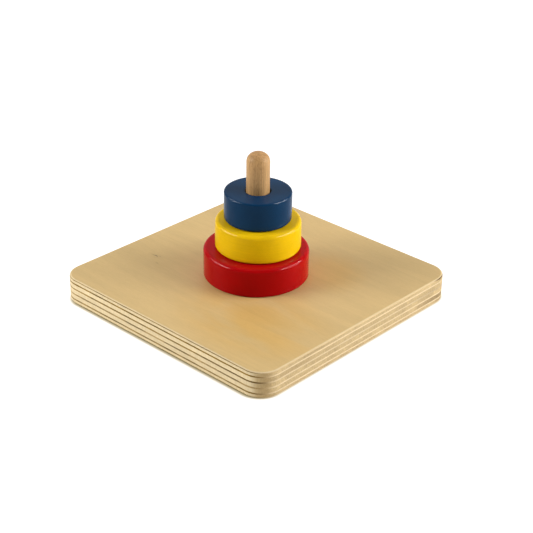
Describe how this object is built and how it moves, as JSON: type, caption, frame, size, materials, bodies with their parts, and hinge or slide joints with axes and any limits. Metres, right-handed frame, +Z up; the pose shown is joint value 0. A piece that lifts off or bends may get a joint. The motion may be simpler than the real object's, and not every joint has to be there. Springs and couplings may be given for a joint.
{
  "type": "disc stacking toy",
  "caption": "Square plywood board with one upright domed dowel that holds a tapering stack of painted wooden discs, each lifting off over the top.",
  "frame": {"origin": "middle of the board's underside", "axes": "+Z up along the dowel, X and Y square to the board's sides, X along the grain of the face veneers"},
  "size_m": [0.18, 0.18, 0.103],
  "materials": {
    "plywood_face": "clear satin lacquer over light hardwood veneer",
    "plywood_long": "clear satin lacquer, grain along X",
    "plywood_cross": "clear satin lacquer, grain along Y",
    "dowel_wood": "clear satin lacquer over turned beech",
    "screw_steel": "bright zinc plate",
    "red_paint": "semi-gloss red paint on turned wood",
    "yellow_paint": "semi-gloss yellow paint on turned wood",
    "blue_paint": "semi-gloss dark blue paint on turned wood"
  },
  "bodies": {
    "base": {"ply_01_bottom_face": "plywood_face", "ply_02_cross": "plywood_cross", "ply_03_long": "plywood_long", "ply_04_cross": "plywood_cross", "ply_05_core": "plywood_long", "ply_06_cross": "plywood_cross", "ply_07_core": "plywood_long", "ply_08_cross": "plywood_cross", "ply_09_core": "plywood_long", "ply_10_cross": "plywood_cross", "ply_11_long": "plywood_long", "ply_12_cross": "plywood_cross", "ply_13_top_face": "plywood_face", "dowel": "dowel_wood", "dowel_screw": "screw_steel"},
    "red_disc": {"red_disc": "red_paint"},
    "yellow_disc": {"yellow_disc": "yellow_paint"},
    "blue_disc": {"blue_disc": "blue_paint"}
  },
  "joints": [
    {"name": "red_disc_lift", "type": "slide", "parent": "base", "child": "red_disc", "axis": [0, 0, 1], "range_m": [0, 0.087]},
    {"name": "yellow_disc_lift", "type": "slide", "parent": "red_disc", "child": "yellow_disc", "axis": [0, 0, 1], "range_m": [0, 0.0675]},
    {"name": "blue_disc_lift", "type": "slide", "parent": "yellow_disc", "child": "blue_disc", "axis": [0, 0, 1], "range_m": [0, 0.048]}
  ]
}
